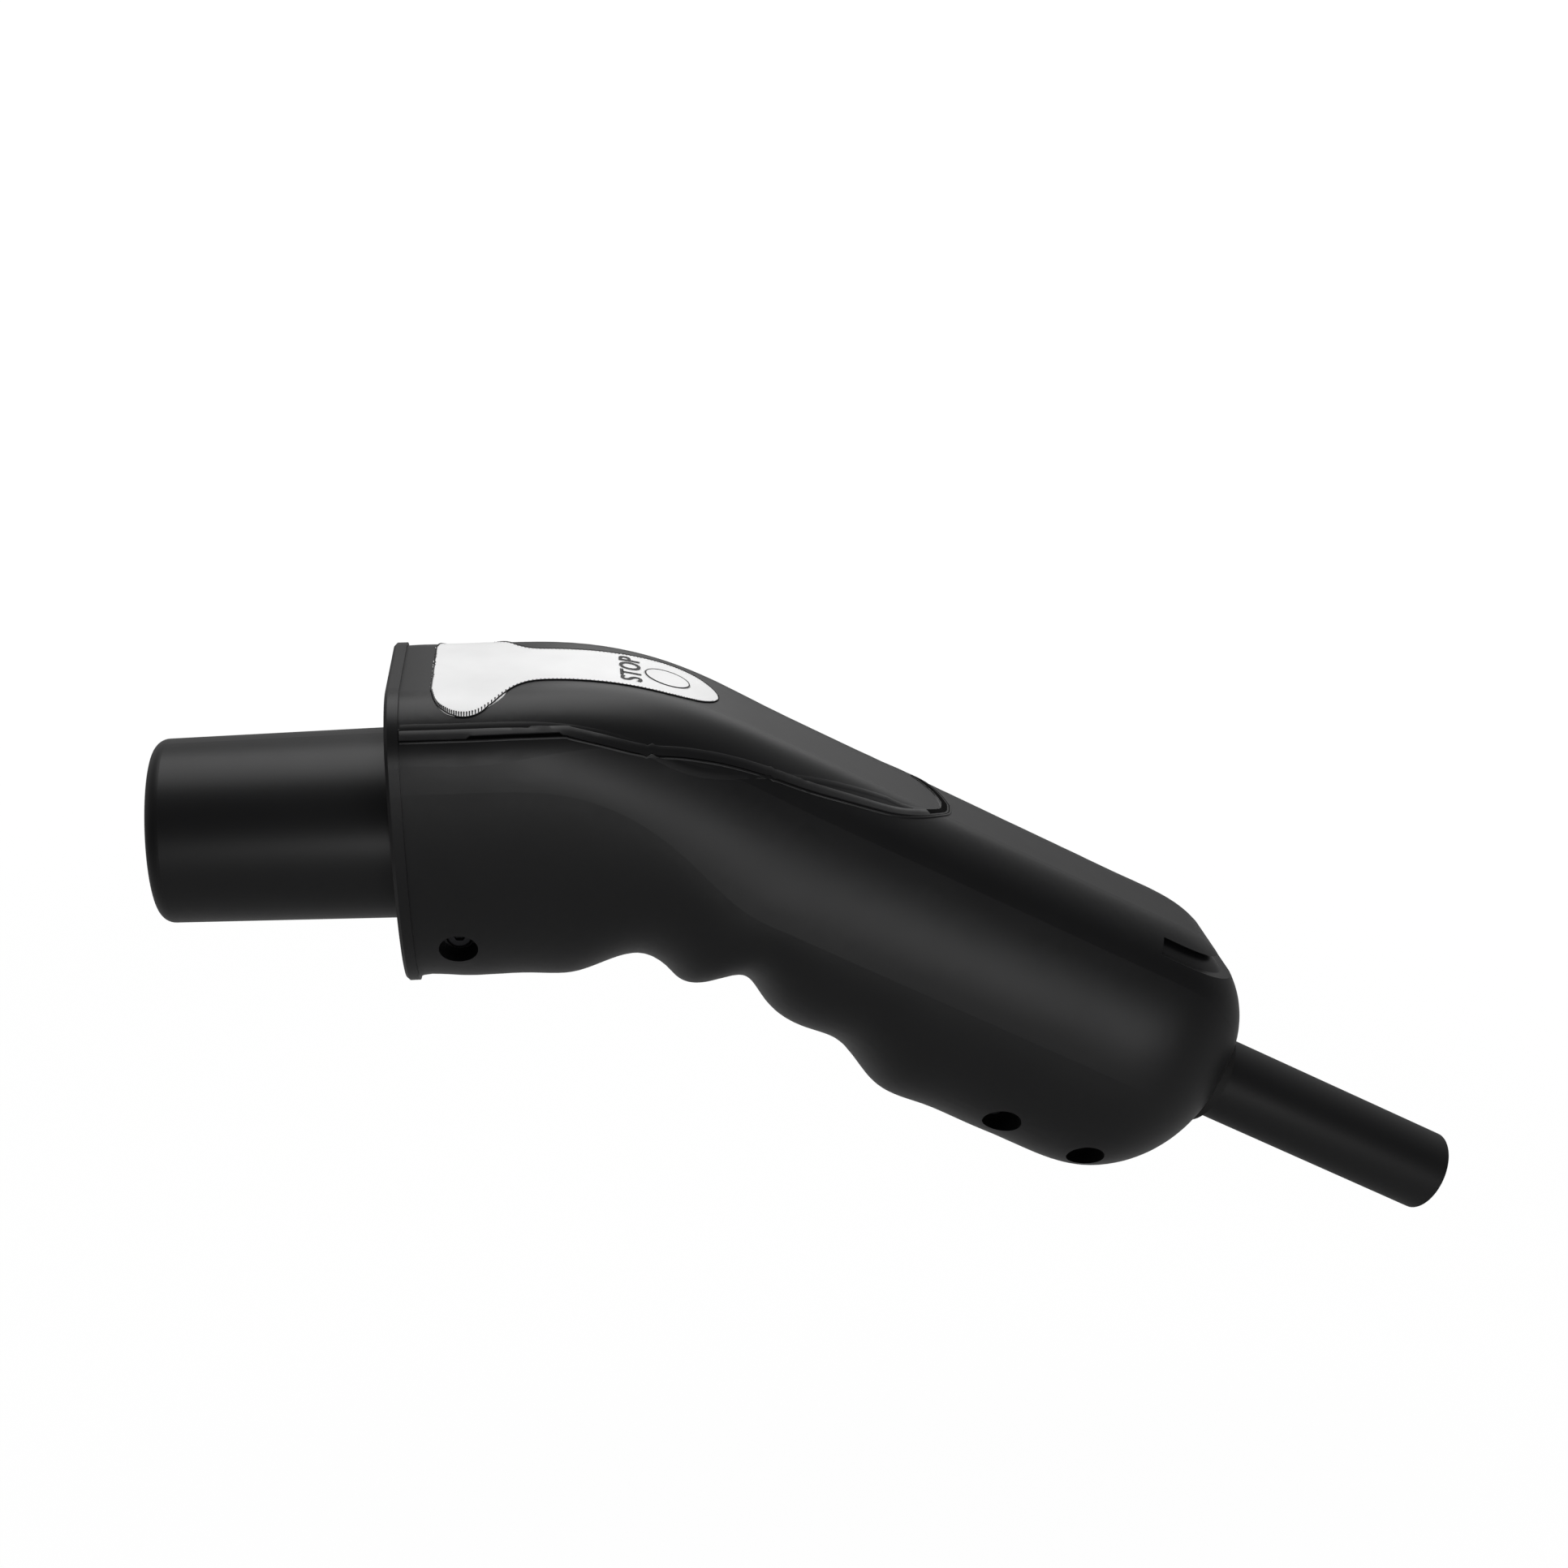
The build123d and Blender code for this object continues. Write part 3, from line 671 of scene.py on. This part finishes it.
# %% End of the cover
rear_start = 115.5 * mm
rear = [place for place in seam if place.x > rear_start]
end_gap_shade_profile = [(2.0, -0.05), (1.9, 0.16), (0.6, 0.16), (0.5, -0.05)]
# The strip is painted shade, in the near-black of the seam's gap.
seam_strip("cover_end_gap_shade", rear, lambda x: end_gap_shade_profile, 0.1, painted_gap_shade)

# %% [markdown]
# ## Floor and light
# The plug is shown above a plain white sweep. A dark satin surface shows what it mirrors
# more than its own colour, so the room matters as much as the lamps: it is bright behind
# the plug and above it, and dim on the side it is seen from. That leaves the flank
# nearly black and lets the surfaces that face up turn grey. The white of the ground is
# given to camera and mirror rays alone, and adds no light to the plug.

# %% Floor
floor_drop = 60 * mm
bpy.ops.object.select_all(action="DESELECT")
bpy.ops.mesh.primitive_plane_add(size=40, location=(0, 0, cad_box[0][2] - floor_drop))
floor = bpy.context.object
floor.name = "floor"
material, tree, shader, place = new_material("white_sweep")
shader.inputs["Base Color"].default_value = linear("#a0a0a0")
shader.inputs["Roughness"].default_value = 0.9
shader.inputs["Specular IOR Level"].default_value = 0.2
path = node(tree, "ShaderNodeLightPath")
glow = node(tree, "ShaderNodeEmission", values={"Strength": 1.05})
far = node(tree, "ShaderNodeVectorMath", {"operation": "LENGTH"}, links={"Vector": place})
fade = node(tree, "ShaderNodeMapRange",
            values={"From Min": 0.35, "From Max": 1.4, "To Min": 0.93, "To Max": 1.0},
            links={"Value": far.outputs["Value"]})
shown = node(tree, "ShaderNodeMath", {"operation": "MULTIPLY"})
tree.links.new(path.outputs["Is Camera Ray"], shown.inputs[0])
tree.links.new(fade.outputs["Result"], shown.inputs[1])
mirrored = node(tree, "ShaderNodeMath", {"operation": "MULTIPLY"})
tree.links.new(path.outputs["Is Glossy Ray"], mirrored.inputs[0])
mirrored.inputs[1].default_value = 0.06
share = node(tree, "ShaderNodeMath", {"operation": "MAXIMUM"})
tree.links.new(shown.outputs[0], share.inputs[0])
tree.links.new(mirrored.outputs[0], share.inputs[1])
mixed = node(tree, "ShaderNodeMixShader", links={"Fac": share.outputs[0]})
tree.links.new(shader.outputs["BSDF"], mixed.inputs[1])
tree.links.new(glow.outputs["Emission"], mixed.inputs[2])
tree.links.new(mixed.outputs["Shader"], tree.nodes["Material Output"].inputs["Surface"])
floor.data.materials.append(material)


# %% Lamps
def lamp(name, place_mm, size_mm, watts, target_mm=(60, 0, -20)):
    """A square area lamp that faces a point of the plug."""
    data = bpy.data.lights.new(name, "AREA")
    data.shape = "SQUARE"
    data.size = size_mm * mm
    data.energy = watts
    made = bpy.data.objects.new(name, data)
    made.location = Vector(place_mm) * mm
    aim = Vector(target_mm) * mm - made.location
    made.rotation_euler = aim.to_track_quat("-Z", "Y").to_euler()
    scene.collection.objects.link(made)


lamp("overhead", (60, 200, 900), 800, 6.0)
lamp("front_flank", (60, -800, -40), 200, 1.2)
lamp("handle_flank", (430, -750, -180), 260, 1.7)
lamp("back", (300, 700, 500), 600, 1.5)

# %% Room
world = bpy.data.worlds.new("white_room")
scene.world = world
world.use_nodes = True
tree = world.node_tree
background = tree.nodes["Background"]
background.inputs["Color"].default_value = (1, 1, 1, 1)
path = node(tree, "ShaderNodeLightPath")
direction = node(tree, "ShaderNodeTexCoord").outputs["Generated"]
axes = node(tree, "ShaderNodeSeparateXYZ", links={"Vector": direction})
behind = node(tree, "ShaderNodeMapRange", {"interpolation_type": "SMOOTHSTEP"},
              values={"From Min": -0.55, "From Max": 0.55, "To Min": 0.05, "To Max": 0.42},
              links={"Value": axes.outputs["Y"]})
soft = node(tree, "ShaderNodeMix", {"data_type": "FLOAT"},
            values={2: 0.28}, links={"Factor": path.outputs["Is Glossy Ray"]})
tree.links.new(behind.outputs["Result"], soft.inputs[3])
level = node(tree, "ShaderNodeMath", {"operation": "MAXIMUM"})
tree.links.new(path.outputs["Is Camera Ray"], level.inputs[0])
tree.links.new(soft.outputs[0], level.inputs[1])
tree.links.new(level.outputs[0], background.inputs["Strength"])
